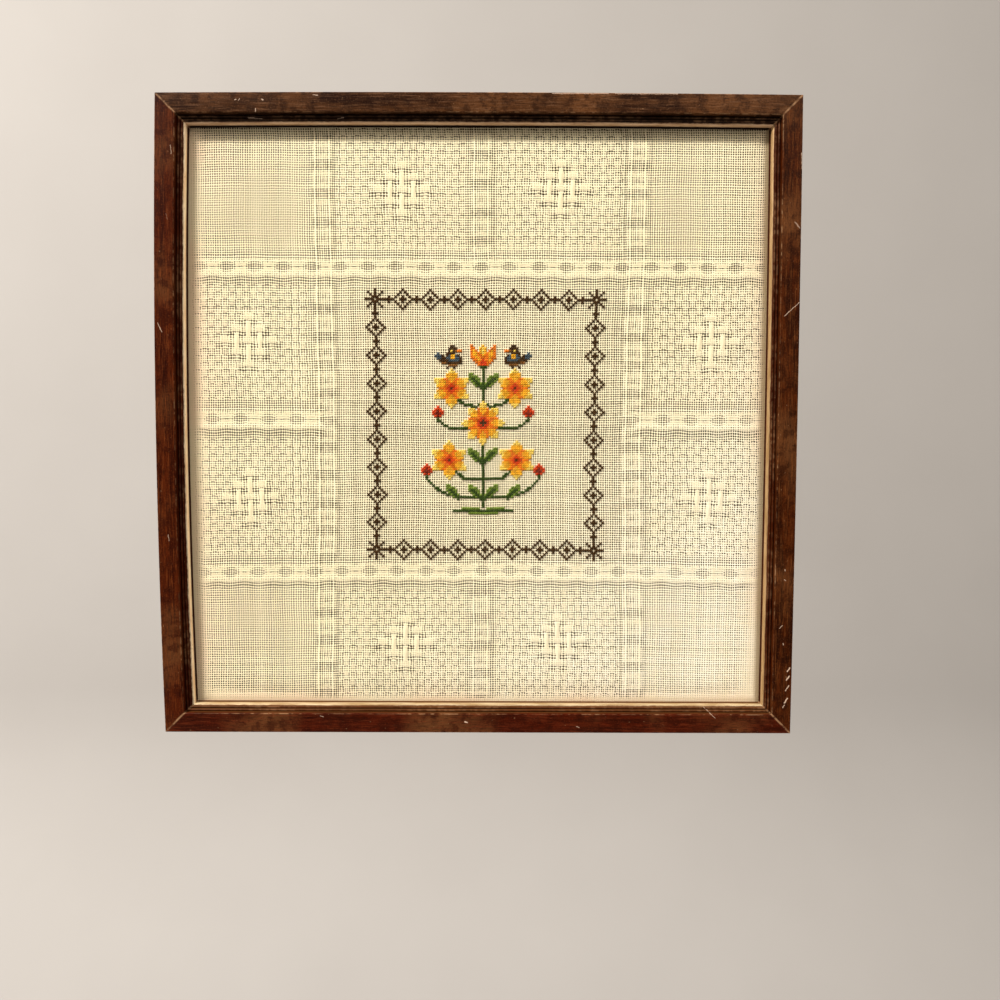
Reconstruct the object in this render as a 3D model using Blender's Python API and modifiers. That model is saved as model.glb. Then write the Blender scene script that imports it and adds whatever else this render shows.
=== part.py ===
"""Framed cross stitch sampler: four mitred rails, the stretched cloth in their rabbet, and the board behind it.

Units are metres. X runs to the right as seen from the front, Z runs up, and the front faces -Y.
The wall plane is Y = 0. The origin is the middle of the top rail's back face, where the frame meets the wall.
"""

import math

import bmesh
import bpy

INCH = 0.0254
CELL = INCH / 18

# The frame and the section of its moulding
FRAME_SIDE = 15 * INCH
SOLID_BACK = 0.5 * INCH
LIP = 0.0043
DEPTH = 0.015
RABBET_DEPTH = 0.0062
BAND_WIDTH = 0.0117
ARRIS = 0.0006
REED_WIDTH = 0.0017
REED_RISE = 0.0006
REED_COUNT = 2
STEP_DROP = 0.0032
REED_FALL = 0.0004
GILT_WIDTH = 0.0013
GILT_DROP = 0.0024
ARC_STEPS = 4

# How far each rail bows outward at its middle
BOWS = {"top": 0.0008, "right": 0.0006, "bottom": 0.0, "left": 0.0028}
BOW_STEPS = 12

# What touches keeps this gap
GAP = 0.0003

# The cloth, pulled over the board so that it stands a little proud in the opening
CLOTH_THICK = 0.001
CROWN = 0.0006
CROWN_RUN = 0.012
RIPPLE = 0.00012
RIPPLE_LENGTH = 0.085
BAND_RISE = 0.0004
BAND_RAMP = 0.001
MARGIN_FROM_LIP = 0.001
GRID_STEP = 10 * CELL

# The woven bands: ladders run up the cloth and braids run across it, placed from the frame's centre
LADDER_WIDTH = 8 * CELL
LADDERS_AT = (-0.0938, 0.0025, 0.0976)
BRAID_WIDTH = 6 * CELL
BRAIDS_AT = (-0.0935, -0.0005, 0.0912)

BOARD_THICK = 0.003

HALF_SIDE = FRAME_SIDE / 2
SIGHT_WIDTH = SOLID_BACK + LIP
HALF_SIGHT = HALF_SIDE - SIGHT_WIDTH
HALF_SHEET = HALF_SIDE - SOLID_BACK - GAP
CENTRE_Z = SOLID_BACK / 2 - HALF_SIDE
CLOTH_FRONT = RABBET_DEPTH - GAP
BOARD_FRONT = CLOTH_FRONT - CLOTH_THICK - GAP


def clear_scene():
    for item in list(bpy.data.objects):
        bpy.data.objects.remove(item, do_unlink=True)


def make_collection(name):
    group = bpy.data.collections.new(name)
    bpy.context.scene.collection.children.link(group)
    return group


def make_material(name, colour, roughness, metallic=0.0):
    material = bpy.data.materials.new(name)
    material.use_nodes = True
    shader = material.node_tree.nodes["Principled BSDF"]
    shader.inputs["Base Color"].default_value = (*colour, 1.0)
    shader.inputs["Roughness"].default_value = roughness
    shader.inputs["Metallic"].default_value = metallic
    return material


def add_object(name, mesh, group, material):
    item = bpy.data.objects.new(name, mesh)
    mesh.materials.append(material)
    group.objects.link(item)
    return item


def quarter_round(centre, radius, start_degrees):
    """Points of a quarter circle, turning clockwise from its start angle, as (across, out) pairs."""
    points = []
    for step in range(ARC_STEPS + 1):
        angle = math.radians(start_degrees - 90 * step / ARC_STEPS)
        points.append((centre[0] + radius * math.cos(angle), centre[1] + radius * math.sin(angle)))
    return points


def moulding_section():
    """The rail's section from its outer back corner: across runs inward, out runs away from the wall."""
    section = [(0.0, 0.0)]
    section += quarter_round((ARRIS, DEPTH - ARRIS), ARRIS, 180)
    section += quarter_round((BAND_WIDTH - ARRIS, DEPTH - ARRIS), ARRIS, 90)

    # Two reeds stand in the step below the band, the inner one a little lower
    across = BAND_WIDTH + ARRIS / 2
    floor = DEPTH - STEP_DROP
    for _ in range(REED_COUNT):
        for step in range(ARC_STEPS + 1):
            share = step / (ARC_STEPS + 1)
            height = floor + REED_RISE * math.sin(math.pi * share)
            section.append((across + REED_WIDTH * share, height))
        across += REED_WIDTH
        floor -= REED_FALL

    # The gilt edge is a quarter round that turns down towards the cloth
    for step in range(ARC_STEPS + 1):
        angle = math.radians(90 * step / ARC_STEPS)
        drop = GILT_DROP * (1 - math.cos(angle))
        section.append((across + GILT_WIDTH * math.sin(angle), floor - drop))

    section.append((SIGHT_WIDTH, RABBET_DEPTH))
    section.append((SOLID_BACK, RABBET_DEPTH))
    section.append((SOLID_BACK, 0.0))
    return section


def make_rail(side, turn_degrees, group, material):
    """Extrudes the section along the rail, then cuts both ends to the mitre and lets the rail bow outward."""
    bow = BOWS[side]
    steps = BOW_STEPS if bow else 1
    shape = bmesh.new()
    end = shape.faces.new([shape.verts.new((-1.0, out, across)) for across, out in moulding_section()])
    for step in range(steps):
        grown = bmesh.ops.extrude_face_region(shape, geom=[end])["geom"]
        if step > 0:
            bmesh.ops.delete(shape, geom=[end], context="FACES_ONLY")
        corners = [piece for piece in grown if isinstance(piece, bmesh.types.BMVert)]
        bmesh.ops.translate(shape, verts=corners, vec=(2 / steps, 0, 0))
        end = next(piece for piece in grown if isinstance(piece, bmesh.types.BMFace))

    # Each mitre face stands half the gap back from the diagonal
    mitre_back = GAP / math.sqrt(2)
    for corner in shape.verts:
        share, out, across = corner.co
        along = share * (HALF_SIDE - across - mitre_back)
        corner.co = (along, -out, HALF_SIDE - across + bow * (1 - share * share))
    bmesh.ops.recalc_face_normals(shape, faces=shape.faces)
    if shape.calc_volume(signed=True) < 0:
        bmesh.ops.reverse_faces(shape, faces=shape.faces)

    mesh = bpy.data.meshes.new("rail_" + side)
    shape.to_mesh(mesh)
    shape.free()
    rail = add_object("rail_" + side, mesh, group, material)
    rail.location = (0, 0, CENTRE_Z)
    rail.rotation_euler = (0, math.radians(turn_degrees), 0)
    return rail


def stations(bands, width):
    """Grid lines across the cloth: the band edges and their ramps, the opening's edge, and lines between."""
    fixed = [-HALF_SHEET, -HALF_SIGHT + MARGIN_FROM_LIP, HALF_SIGHT - MARGIN_FROM_LIP, HALF_SHEET]
    fixed += [-HALF_SIGHT + CROWN_RUN, HALF_SIGHT - CROWN_RUN]
    for middle in bands:
        for side in (-1, 1):
            fixed.append(middle + side * width / 2)
            fixed.append(middle + side * (width / 2 + BAND_RAMP))
    fixed.sort()
    lines = [fixed[0]]
    for low, high in zip(fixed, fixed[1:]):
        parts = max(1, round((high - low) / GRID_STEP))
        lines += [low + (high - low) * part / parts for part in range(1, parts + 1)]
    return lines


def ease(share):
    share = min(max(share, 0.0), 1.0)
    return share * share * (3 - 2 * share)


def band_share(distance, width):
    """1 on a band, falling to 0 over its ramp."""
    return 1 - ease((abs(distance) - width / 2) / BAND_RAMP)


def cloth_rise(x, z):
    """How far the cloth's face stands in front of its edge: the crown, the ripples and the woven bands."""
    inside = HALF_SIGHT - MARGIN_FROM_LIP - max(abs(x), abs(z))
    share = ease(inside / CROWN_RUN)
    ripple = math.sin(2 * math.pi * x / RIPPLE_LENGTH) * math.cos(2 * math.pi * (z + x / 3) / RIPPLE_LENGTH)

    # The middle ladder stops at the outer braids, and the middle braid stops at the outer ladders
    left, middle, right = (band_share(x - at, LADDER_WIDTH) for at in LADDERS_AT)
    low, centre, high = (band_share(z - at, BRAID_WIDTH) for at in BRAIDS_AT)
    if BRAIDS_AT[0] < z < BRAIDS_AT[-1]:
        middle = 0.0
    if LADDERS_AT[0] < x < LADDERS_AT[-1]:
        centre = 0.0
    band = max(left, middle, right, low, centre, high)
    return share * (CROWN + RIPPLE * ripple + BAND_RISE * band)


def make_cloth(group, material):
    """A grid whose lines follow the woven bands, raised point by point, with its thickness behind."""
    columns = stations(LADDERS_AT, LADDER_WIDTH)
    rows = stations(BRAIDS_AT, BRAID_WIDTH)
    shape = bmesh.new()
    bmesh.ops.create_grid(shape, x_segments=len(columns) - 1, y_segments=len(rows) - 1, size=1.0)
    for corner in shape.verts:
        column = round((corner.co.x + 1) / 2 * (len(columns) - 1))
        row = round((corner.co.y + 1) / 2 * (len(rows) - 1))
        x = columns[column]
        z = rows[row]
        corner.co = (x, -CLOTH_FRONT - cloth_rise(x, z), z)
    mesh = bpy.data.meshes.new("cloth")
    shape.to_mesh(mesh)
    shape.free()
    cloth = add_object("cloth", mesh, group, material)
    cloth.location = (0, 0, CENTRE_Z)
    thickness = cloth.modifiers.new("thickness", "SOLIDIFY")
    thickness.thickness = CLOTH_THICK
    thickness.offset = -1
    return cloth


def make_board(group, material):
    """The flat board that the cloth is pulled over, a loose fit in the rabbet."""
    shape = bmesh.new()
    bmesh.ops.create_cube(shape, size=1.0)
    bmesh.ops.scale(shape, verts=shape.verts, vec=(2 * HALF_SHEET, BOARD_THICK, 2 * HALF_SHEET))
    mesh = bpy.data.meshes.new("backing_board")
    shape.to_mesh(mesh)
    shape.free()
    board = add_object("backing_board", mesh, group, material)
    board.location = (0, -BOARD_FRONT + BOARD_THICK / 2, CENTRE_Z)
    return board


clear_scene()
sampler = make_collection("framed_cross_stitch_sampler")
wood = {
    "top": make_material("wood_top", (0.115, 0.043, 0.018), 0.38),
    "right": make_material("wood_right", (0.105, 0.033, 0.018), 0.38),
    "bottom": make_material("wood_bottom", (0.120, 0.022, 0.012), 0.36),
    "left": make_material("wood_left", (0.130, 0.034, 0.014), 0.38),
}
linen = make_material("cream_cloth", (0.80, 0.70, 0.50), 0.9)
board_grey = make_material("board_brown", (0.35, 0.25, 0.16), 0.85)

for side, turn in (("top", 0), ("right", 90), ("bottom", 180), ("left", 270)):
    make_rail(side, turn, sampler, wood[side])
make_cloth(sampler, linen)
make_board(sampler, board_grey)
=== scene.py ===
# %% [markdown]
# # A framed cross stitch sampler
# A square of cream cloth with woven bands, worked in crossed stitches, is pulled over a board and
# held in a stained wooden frame with a gilt inner edge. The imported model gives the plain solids.
# Here the rails, the cloth and the stitches are made in detail, and each gets a finish of nodes.

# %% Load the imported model
import math

import bpy
import numpy as np
from mathutils import Matrix, Vector


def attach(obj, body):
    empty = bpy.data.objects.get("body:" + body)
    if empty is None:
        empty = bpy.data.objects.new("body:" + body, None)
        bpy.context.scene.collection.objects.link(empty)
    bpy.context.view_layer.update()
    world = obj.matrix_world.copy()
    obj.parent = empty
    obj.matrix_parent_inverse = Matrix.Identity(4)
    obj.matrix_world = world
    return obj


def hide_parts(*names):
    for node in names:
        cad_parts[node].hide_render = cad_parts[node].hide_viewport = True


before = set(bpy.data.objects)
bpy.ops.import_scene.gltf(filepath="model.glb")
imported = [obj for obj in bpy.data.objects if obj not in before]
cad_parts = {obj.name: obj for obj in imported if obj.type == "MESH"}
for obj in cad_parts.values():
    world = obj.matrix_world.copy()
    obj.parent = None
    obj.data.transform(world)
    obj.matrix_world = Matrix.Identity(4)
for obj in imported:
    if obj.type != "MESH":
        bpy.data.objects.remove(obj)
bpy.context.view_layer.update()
scene = bpy.context.scene
print("nodes:", sorted(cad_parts))

# %% [markdown]
# The main sizes repeat those of the solids, in metres. X runs to the right, Z runs up and the front
# faces -Y. The origin is the middle of the top rail's back, so the frame's centre is below it.

# %% Main sizes
MM = 0.001
HALF_SIDE = 190.5 * MM
SOLID_BACK = 12.7 * MM
SIGHT_WIDTH = 17.0 * MM
DEPTH = 15.0 * MM
RABBET_DEPTH = 6.2 * MM
GAP = 0.3 * MM
CENTRE = Vector((0, 0, SOLID_BACK / 2 - HALF_SIDE))
HALF_SIGHT = HALF_SIDE - SIGHT_WIDTH
HALF_SHEET = HALF_SIDE - SOLID_BACK - GAP
CLOTH_FRONT = RABBET_DEPTH - GAP
CLOTH_THICK = 1.0 * MM
print("frame centre:", tuple(round(value, 5) for value in CENTRE))

# %% [markdown]
# ## Camera
# The sampler was photographed almost square on, from about half a metre. The place and the three
# small turns below come from the four outer corners of the frame, so the sides lean as they should.

# %% Camera
LENS = 28.8
CAMERA_PLACE = (0.01229, -0.49529, -0.20954)
CAMERA_TURNS = ((-0.083, "Z"), (-2.744, "X"), (-0.176, "Y"), (90, "X"))
camera_data = bpy.data.cameras.new("camera")
camera_data.sensor_width = 36
camera_data.lens = LENS
camera_data.clip_start = 0.01
camera = bpy.data.objects.new("camera", camera_data)
pose = Matrix.Translation(CAMERA_PLACE)
for degrees, axis in CAMERA_TURNS:
    pose = pose @ Matrix.Rotation(math.radians(degrees), 4, axis)
camera.matrix_world = pose
scene.collection.objects.link(camera)
scene.camera = camera
scene.view_settings.view_transform = "Standard"
scene.view_settings.look = "None"

# %% [markdown]
# ## Node helpers
# A finish is a small tree of nodes. These helpers add a node to the tree on the bench, set it and
# join it in one line, so that each finish below reads from top to bottom like a recipe.


# %% Node helpers
class Bench:
    """Holds the node tree that is being made."""
    tree = None


def join(source, target):
    Bench.tree.links.new(source, target)


def add(kind, inputs=None, **settings):
    """Adds a node. An input is given by name or number, as a value or as another node's socket."""
    made = Bench.tree.nodes.new(kind)
    for name, value in settings.items():
        setattr(made, name, value)
    for key, value in (inputs or {}).items():
        if isinstance(value, bpy.types.NodeSocket):
            join(value, made.inputs[key])
        else:
            made.inputs[key].default_value = value
    return made


def calc(operation, *values, clamp=False):
    inputs = dict(enumerate(values))
    return add("ShaderNodeMath", inputs, operation=operation, use_clamp=clamp).outputs[0]


def times(first, second):
    return calc("MULTIPLY", first, second)


def vector_calc(operation, first, second):
    return add("ShaderNodeVectorMath", {0: first, 1: second}, operation=operation).outputs[0]


def smooth_step(value, low, high, start=0.0, end=1.0):
    inputs = {"Value": value, "From Min": low, "From Max": high, "To Min": start, "To Max": end}
    return add("ShaderNodeMapRange", inputs, interpolation_type="SMOOTHSTEP").outputs["Result"]


def noise(vector, scale=1.0, detail=2.0, roughness=0.5):
    inputs = {"Vector": vector, "Scale": scale, "Detail": detail, "Roughness": roughness}
    return add("ShaderNodeTexNoise", inputs).outputs["Fac"]


def scatter(vector, scale, detail):
    """A different small vector at each place, around zero."""
    inputs = {"Vector": vector, "Scale": scale, "Detail": detail}
    made = add("ShaderNodeTexNoise", inputs).outputs["Color"]
    return vector_calc("SUBTRACT", made, (0.5, 0.5, 0.5))


def stretched(vector, scale, place=(0, 0, 0)):
    inputs = {"Vector": vector, "Location": place, "Scale": scale}
    return add("ShaderNodeMapping", inputs).outputs["Vector"]


def object_place():
    return add("ShaderNodeTexCoord").outputs["Object"]


def flat_map(name):
    return add("ShaderNodeUVMap", uv_map=name).outputs["UV"]


def attribute(name):
    return add("ShaderNodeAttribute", attribute_name=name).outputs["Fac"]


def blend(share, first, second):
    """Mixes two colours by a share from 0 to 1."""
    inputs = {0: share}
    for number, value in ((6, first), (7, second)):
        inputs[number] = (*value, 1.0) if isinstance(value, tuple) else value
    return add("ShaderNodeMix", inputs, data_type="RGBA", clamp_factor=True).outputs[2]


def tint(colour, other, value, low, high, start, end):
    """Mixes in another colour. Its share is start where the value is low and end where it's high."""
    return blend(smooth_step(value, low, high, start, end), colour, other)


def new_finish(name, **constants):
    """A material and its shader. What is the same all over is set on the shader itself."""
    finish = bpy.data.materials.new(name)
    finish.use_nodes = True
    Bench.tree = finish.node_tree
    shader = Bench.tree.nodes["Principled BSDF"]
    for key, value in constants.items():
        shader.inputs[key.replace("_", " ")].default_value = value
    return finish, shader


def relief(shader, height, strength, distance):
    bump = add("ShaderNodeBump", {"Height": height, "Strength": strength, "Distance": distance})
    join(bump.outputs["Normal"], shader.inputs["Normal"])


def keep(name, mesh, *finishes):
    """Adds a finished mesh to the scene. Its object stays at the origin."""
    for finish in finishes:
        mesh.materials.append(finish)
    piece = bpy.data.objects.new(name, mesh)
    scene.collection.objects.link(piece)
    return piece


def store(mesh, name, values):
    layer = mesh.attributes.new(name, "FLOAT", "POINT")
    layer.data.foreach_set("value", np.ascontiguousarray(values, dtype=np.float32).ravel())


# %% [markdown]
# ## Stage and light
# The floor and the wall behind are one sweep, so no line crosses the picture. The wall stands well
# back, to leave room for views from behind. A strip of light at the upper left gives the crisp
# shadow under the top rail and the softer one beside the left rail. A weak strip at the upper right
# lightens that left shadow, a soft light fills in from above, and one behind shows the back.

# %% Stage
FLOOR_Z = -1.6
WALL_Y = 1.9
WALL_TOP = 16.0
DAYLIGHT = 0.23
SWEEP_RADIUS = 0.7
SWEEP_REACH = 40.0
SWEEP_STEPS = 12
sweep_line = [(-SWEEP_REACH, FLOOR_Z)]
for step in range(SWEEP_STEPS + 1):
    angle = math.radians(90 * step / SWEEP_STEPS)
    out = WALL_Y - SWEEP_RADIUS + SWEEP_RADIUS * math.sin(angle)
    sweep_line.append((out, FLOOR_Z + SWEEP_RADIUS * (1 - math.cos(angle))))
sweep_line.append((WALL_Y, WALL_TOP))
sweep_points = [(x, y, z) for y, z in sweep_line for x in (-SWEEP_REACH, SWEEP_REACH)]
sweep_faces = [(2 * i, 2 * i + 1, 2 * i + 3, 2 * i + 2) for i in range(len(sweep_line) - 1)]
sweep_mesh = bpy.data.meshes.new("floor_sweep")
sweep_mesh.from_pydata(sweep_points, [], sweep_faces)
sweep_mesh.shade_smooth()
paper, paper_shader = new_finish("pale_paper", Roughness=0.95)
mottle = noise(object_place(), 3.0)
paper_colour = blend(mottle, (0.35, 0.33, 0.32), (0.38, 0.36, 0.35))
join(paper_colour, paper_shader.inputs["Base Color"])
keep("floor_sweep", sweep_mesh, paper)

world = bpy.data.worlds.new("pale_world")
world.use_nodes = True
glow = world.node_tree.nodes["Background"].inputs
glow["Color"].default_value = (1.0, 0.92, 0.82, 1)
glow["Strength"].default_value = DAYLIGHT
scene.world = world


def area_light(name, place, width, height, watts, colour, level=False):
    """A soft light that isn't seen itself. Unless level, it is turned to the frame's centre."""
    data = bpy.data.lights.new(name, "AREA")
    data.shape = "RECTANGLE"
    data.size = width
    data.size_y = height
    data.energy = watts
    data.color = colour
    light = bpy.data.objects.new(name, data)
    light.location = CENTRE + Vector(place)
    aim = CENTRE - light.location
    if level:
        aim.x = 0
    light.rotation_euler = aim.to_track_quat("-Z", "Y").to_euler()
    light.visible_camera = False
    scene.collection.objects.link(light)


area_light("key_strip", (-3.8, -2.66, 4.30), 2.7, 0.4, 930, (1.0, 0.96, 0.88), level=True)
area_light("right_strip", (2.3, -1.5, 2.43), 0.9, 0.3, 36, (1.0, 0.94, 0.84))
area_light("top_fill", (0.9, -1.3, 1.5), 1.6, 1.6, 19, (1.0, 0.92, 0.80))
area_light("back_fill", (0.5, 1.3, 0.9), 1.2, 1.2, 9, (1.0, 0.97, 0.94))

# %% [markdown]
# ## The rails
# Each rail is one moulding, cut to a mitre at both ends: a flat band with soft arrises, a step, two
# reeds and a thin gilt quarter round next to the cloth. A moulding is a section drawn along a line,
# so the mesh is its section repeated at many stations. The section has more steps here than in the
# solids, and the stations carry the slight outward bow that old frames get.


# %% Section of the moulding
BAND_WIDTH = 11.7 * MM
ARRIS = 0.6 * MM
REED_WIDTH = 1.7 * MM
REED_RISE = 0.6 * MM
STEP_DROP = 3.2 * MM
REED_FALL = 0.4 * MM
REED_COUNT = 2
GILT_WIDTH = 1.3 * MM
GILT_DROP = 2.4 * MM
ARC_STEPS = 8
WOOD, GILT, RAW = 0, 1, 2


def moulding_section():
    """Rows of (across, out, arris, finish), with the finish of the face that follows the point."""
    rows = [(0.0, 0.0, 0.0, WOOD), (0.0, DEPTH - ARRIS - 1 * MM, 0.0, WOOD)]
    for middle, start in ((ARRIS, 180), (BAND_WIDTH - ARRIS, 90)):
        for step in range(ARC_STEPS + 1):
            angle = math.radians(start - 90 * step / ARC_STEPS)
            worn = math.sin(math.pi * step / ARC_STEPS) * (1.0 if start == 180 else 0.7)
            across = middle + ARRIS * math.cos(angle)
            rows.append((across, DEPTH - ARRIS + ARRIS * math.sin(angle), worn, WOOD))
    across = BAND_WIDTH + ARRIS / 2
    floor = DEPTH - STEP_DROP
    for _ in range(REED_COUNT):
        for step in range(ARC_STEPS):
            share = step / ARC_STEPS
            bulge = math.sin(math.pi * share)
            at = across + REED_WIDTH * share
            rows.append((at, floor + REED_RISE * bulge, 0.35 * bulge, WOOD))
        across += REED_WIDTH
        floor -= REED_FALL
    for step in range(ARC_STEPS + 1):
        angle = math.radians(90 * step / ARC_STEPS)
        out = floor - GILT_DROP * (1 - math.cos(angle))
        rows.append((across + GILT_WIDTH * math.sin(angle), out, 0.0, GILT))
    rows[-1] = (*rows[-1][:3], WOOD)
    rows.append((SIGHT_WIDTH, RABBET_DEPTH, 0.0, RAW))
    rows.append((SOLID_BACK, RABBET_DEPTH, 0.0, RAW))
    rows.append((SOLID_BACK, 0.0, 0.0, RAW))
    return rows


section = moulding_section()
print("points in the section:", len(section))

# %% [markdown]
# The wood is a dark stain over a fine straight grain that runs along each rail, under a thin satin
# polish. The grain reads the rail's own map, one way along the rail and the other across its face,
# both in metres. Wear shows as lighter lines on the arrises and the mitres, where the stain has
# rubbed off, and as small scratches and chips, each a short line on the front of its rail.


# %% Scratches, in millimetres from the frame's centre: two ends, width, strength
MARKS = {
    "top": [
        (-143.6, 186.3, -142.6, 186.6, 0.7, 0.7), (-141.2, 186.0, -140.6, 186.9, 0.6, 0.6),
        (-127.6, 186.6, -126.8, 186.2, 0.7, 0.8), (-131.3, 179.6, -131.1, 181.2, 0.6, 0.7),
        (-136.5, 177.1, -128.5, 176.7, 0.7, 0.55), (-83.6, 176.9, -80.2, 177.6, 0.6, 0.6),
        (42.8, 190.5, 76.0, 190.6, 0.5, 0.7), (80.0, 190.6, 116.7, 190.5, 0.45, 0.7),
        (-97.4, 189.2, -94.8, 189.0, 0.6, 0.6),
    ],
    "right": [
        (182.0, 61.8, 190.5, 69.7, 0.45, 0.75), (187.0, 116.7, 190.0, 113.2, 0.9, 0.4),
        (190.1, 156.8, 190.8, 144.1, 0.6, 0.7), (185.2, -90.0, 185.4, -90.8, 0.7, 0.7),
        (185.1, -96.1, 185.6, -96.6, 0.6, 0.6), (187.9, -152.2, 189.3, -150.0, 0.9, 1.0),
        (187.4, -157.4, 189.2, -155.0, 0.9, 1.0), (186.9, -164.0, 188.9, -161.0, 0.7, 0.9),
        (186.5, -171.6, 188.2, -168.8, 0.9, 1.0), (185.6, -174.5, 186.5, -172.9, 0.7, 0.8),
        (182.6, -125.7, 184.3, -124.0, 0.5, 0.7), (184.9, -135.0, 185.2, -136.0, 0.7, 0.6),
    ],
    "bottom": [
        (-7.9, -183.7, -6.6, -184.1, 1.0, 1.0), (138.2, -175.4, 144.4, -181.0, 0.4, 0.7),
        (60.0, -186.5, 61.6, -187.2, 0.5, 0.5), (-96.0, -180.2, -94.0, -180.9, 0.5, 0.5),
    ],
    "left": [
        (-190.9, 56.3, -188.5, 51.0, 0.5, 0.7), (-184.9, 120.3, -184.1, 117.0, 0.4, 0.15),
        (-186.7, -70.0, -186.2, -73.5, 0.5, 0.5), (-181.5, 160.0, -181.2, 155.0, 0.5, 0.5),
    ],
}


# %% Finish of the wood
def line_mask(flat, mark):
    """The strength of one short line on the front, from the distance to its nearest point."""
    x0, z0, x1, z1, width, strength = mark
    start = Vector((x0 * MM, 0, z0 * MM)) + CENTRE
    run = Vector(((x1 - x0) * MM, 0, (z1 - z0) * MM))
    off = vector_calc("SUBTRACT", flat, start)
    ends = {0: off, 1: run / run.length_squared}
    along = add("ShaderNodeVectorMath", ends, operation="DOT_PRODUCT").outputs["Value"]
    share = calc("ADD", along, 0.0, clamp=True)
    nearest = add("ShaderNodeVectorMath", {0: run, "Scale": share}, operation="SCALE").outputs[0]
    apart = add("ShaderNodeVectorMath", {0: off, 1: nearest}, operation="DISTANCE")
    return smooth_step(apart.outputs["Value"], 0.1 * width * MM, 0.62 * width * MM, strength, 0.0)


def wood_finish(name, dark, warm, light, below_band_painted_light, below_band_painted_light_share, marks, seed):
    finish, shader = new_finish(name, Specular_IOR_Level=0.05)
    grain_map = flat_map("Grain")
    place = object_place()
    streaks = noise(stretched(grain_map, (55, 1100, 1), (seed, seed, 0)), 1.0, 5.0, 0.66)
    bands = noise(stretched(grain_map, (16, 190, 1), (seed * 2, 1, 0)), 1.0, 4.0, 0.62)
    mottle = noise(place, 150.0, 3.0, 0.6)
    pores = noise(stretched(grain_map, (170, 4200, 1), (3, seed, 0)), 1.0, 1.0)
    flecks = noise(stretched(grain_map, (420, 900, 1), (seed, 7, 0)), 1.0, 2.0)
    patches = noise(place, 22.0, 2.0)
    grit = noise(place, 1000.0, 2.0, 0.6)
    colour = blend(smooth_step(bands, 0.36, 0.60), dark, warm)
    colour = tint(colour, (0.115, 0.043, 0.014), patches, 0.45, 0.72, 0.0, 0.75)
    colour = tint(colour, light, streaks, 0.48, 0.70, 0.0, 0.8)
    colour = tint(colour, dark, mottle, 0.46, 0.64, 0.0, 0.65)
    colour = tint(colour, light, grit, 0.54, 0.70, 0.0, 0.35)
    colour = tint(colour, dark, grit, 0.32, 0.46, 0.4, 0.0)
    colour = tint(colour, tuple(0.35 * c for c in dark), pores, 0.54, 0.64, 0.0, 0.7)

    # Painted light and shade below the band: deep painted shade on the top rail, lit brown on the
    # bottom
    colour = blend(times(attribute("below_band_painted_light"), below_band_painted_light_share), colour, below_band_painted_light)

    # Rubbed arrises and mitres
    rub_noise = noise(place, 260.0, 4.0, 0.6)
    arris = times(attribute("arris"), smooth_step(rub_noise, 0.44, 0.60))
    arris = times(arris, smooth_step(patches, 0.36, 0.66, 0.15, 0.9))
    mitre = smooth_step(attribute("mitre"), 0.15 * MM, 0.8 * MM, 1.0, 0.0)
    mitre = times(mitre, smooth_step(rub_noise, 0.40, 0.58, 0.15, 0.85))
    specks = times(smooth_step(flecks, 0.70, 0.78, 0.0, 0.5), attribute("front"))
    worn = calc("MAXIMUM", calc("MAXIMUM", arris, mitre), specks)

    # Scratches lie on the front, so only X and Z count
    flat = vector_calc("MULTIPLY", place, (1, 0, 1))
    ragged = vector_calc("MULTIPLY", scatter(place, 900.0, 2.0), (0.0009, 0, 0.0009))
    flat = vector_calc("ADD", flat, ragged)
    chips = None
    for mark in marks:
        mask = line_mask(flat, mark)
        chips = mask if chips is None else calc("MAXIMUM", chips, mask)
    chips = times(chips, attribute("front"))

    rubbed = calc("MAXIMUM", worn, chips)
    colour = blend(worn, colour, (0.30, 0.165, 0.085))
    colour = blend(chips, colour, (0.56, 0.40, 0.30))
    join(colour, shader.inputs["Base Color"])
    rough = smooth_step(streaks, 0.3, 0.8, 0.34, 0.50)
    rough = calc("ADD", rough, times(rubbed, 0.3))
    join(rough, shader.inputs["Roughness"])
    height = calc("SUBTRACT", streaks, times(rubbed, 0.5))
    relief(shader, calc("SUBTRACT", height, times(pores, 0.6)), 0.35, 0.00012)
    return finish


# %% [markdown]
# The gilt edge is thin metal leaf or bronze paint over a red ground. It is brightest where it turns
# outward, and the ground shows in small dark nicks and along its worn borders. The back and the
# rabbet were never stained, so they get a pale raw wood.


# %% Gilt and raw wood
def gilt_finish(name, dull, bright):
    finish, shader = new_finish(name, Metallic=0.3, Specular_IOR_Level=0.4)
    place = object_place()
    grain_map = flat_map("Grain")
    cloudy = noise(stretched(grain_map, (60, 500, 1)), 1.0, 3.0)
    nicks = noise(stretched(grain_map, (330, 1500, 1)), 1.0, 3.0, 0.6)
    long_noise = noise(place, 30.0, 2.0)
    colour = blend(smooth_step(cloudy, 0.3, 0.7), dull, bright)
    edge = times(attribute("gilt_edge"), smooth_step(nicks, 0.35, 0.62, 0.4, 1.0))
    ground = calc("MAXIMUM", smooth_step(nicks, 0.62, 0.72), edge)
    ground = times(ground, smooth_step(long_noise, 0.3, 0.62, 0.45, 1.0))
    colour = blend(ground, colour, (0.10, 0.035, 0.015))
    join(colour, shader.inputs["Base Color"])
    join(smooth_step(ground, 0.0, 1.0, 0.38, 0.7), shader.inputs["Roughness"])
    relief(shader, calc("ADD", cloudy, times(nicks, 0.7)), 0.3, 0.0002)
    return finish


def raw_finish():
    finish, shader = new_finish("unstained_wood", Roughness=0.75)
    grain_map = flat_map("Grain")
    streaks = noise(stretched(grain_map, (12, 700, 1)), 1.0, 4.0, 0.6)
    stains = noise(object_place(), 35.0, 3.0)
    colour = blend(smooth_step(streaks, 0.3, 0.75), (0.25, 0.14, 0.065), (0.46, 0.30, 0.16))
    colour = tint(colour, (0.14, 0.075, 0.035), stains, 0.52, 0.75, 0.0, 0.6)
    join(colour, shader.inputs["Base Color"])
    relief(shader, streaks, 0.4, 0.0002)
    return finish


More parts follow.
